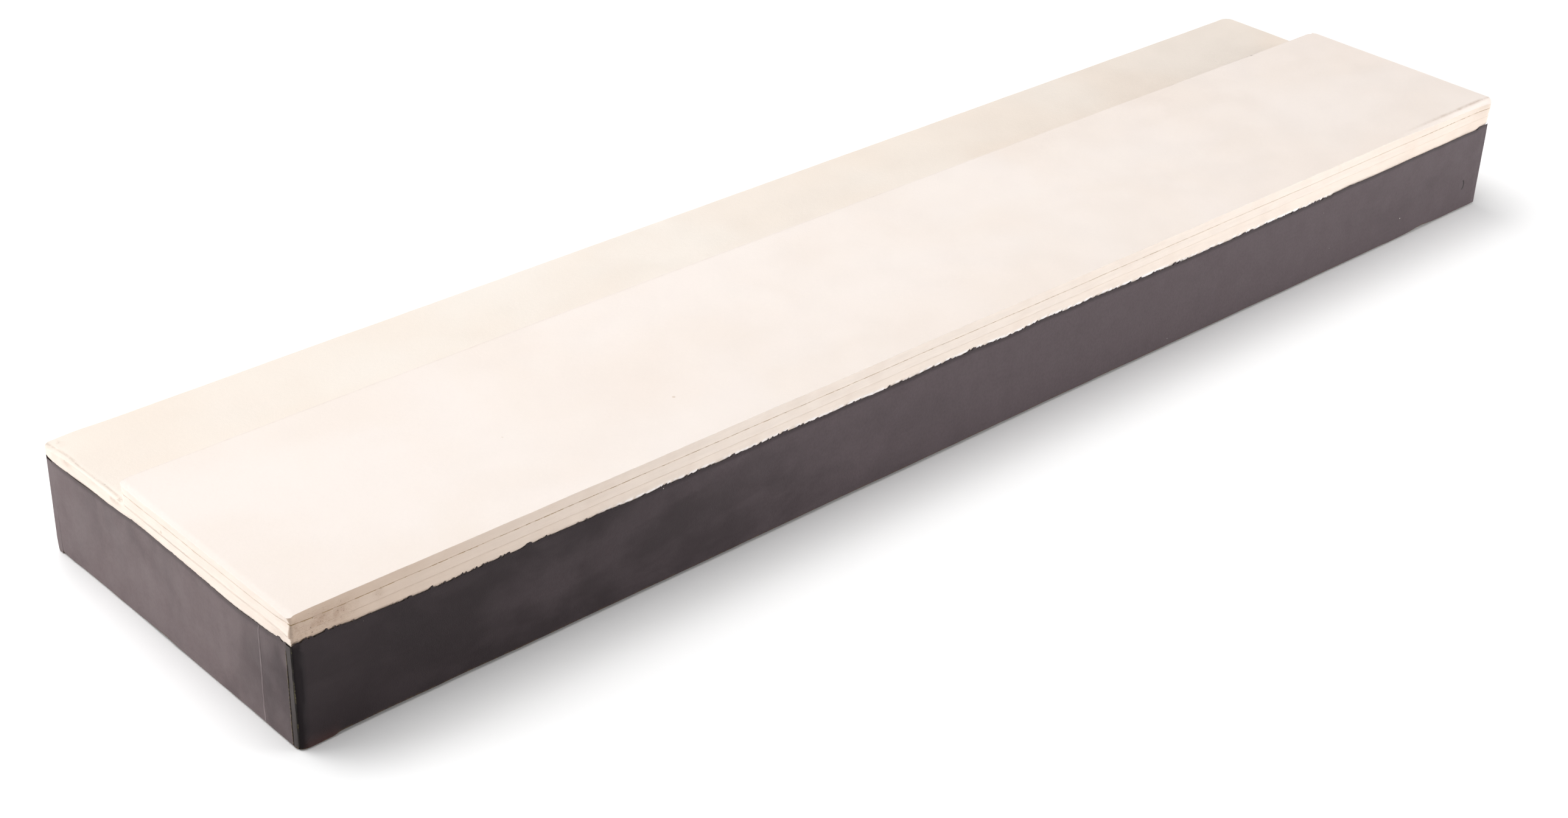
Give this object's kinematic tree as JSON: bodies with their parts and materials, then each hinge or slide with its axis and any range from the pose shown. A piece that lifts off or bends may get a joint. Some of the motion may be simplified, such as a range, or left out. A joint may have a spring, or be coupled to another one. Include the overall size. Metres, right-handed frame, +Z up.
{
  "type": "leather covered granite slab",
  "caption": "Long granite slab dressed in black leather on its sides and layered cream leather on top, with a lower ledge along the back, used as a steady base for leather tooling.",
  "frame": {"origin": "centre of the underside", "axes": "+X along the length, +Y towards the lower ledge at the back, +Z up out of the work surface"},
  "size_m": [0.914, 0.219, 0.0744],
  "materials": {
    "granite": "sawn grey granite",
    "cream_leather": "undyed vegetable-tanned leather, smooth grain side up, raw cut edges",
    "black_leather": "dyed black leather with a soft satin sheen, worn and mottled",
    "contact_cement": "dried amber contact cement"
  },
  "bodies": {
    "root": {"granite_slab": "granite", "front_glue": "contact_cement", "rear_glue": "contact_cement", "left_glue": "contact_cement", "right_glue": "contact_cement", "front_cladding": "black_leather", "rear_cladding": "black_leather", "left_cladding": "black_leather", "right_cladding": "black_leather", "base_glue": "contact_cement", "base_sheet": "cream_leather", "middle_glue": "contact_cement", "middle_sheet": "cream_leather", "top_glue": "contact_cement", "top_sheet": "cream_leather"}
  },
  "joints": []
}
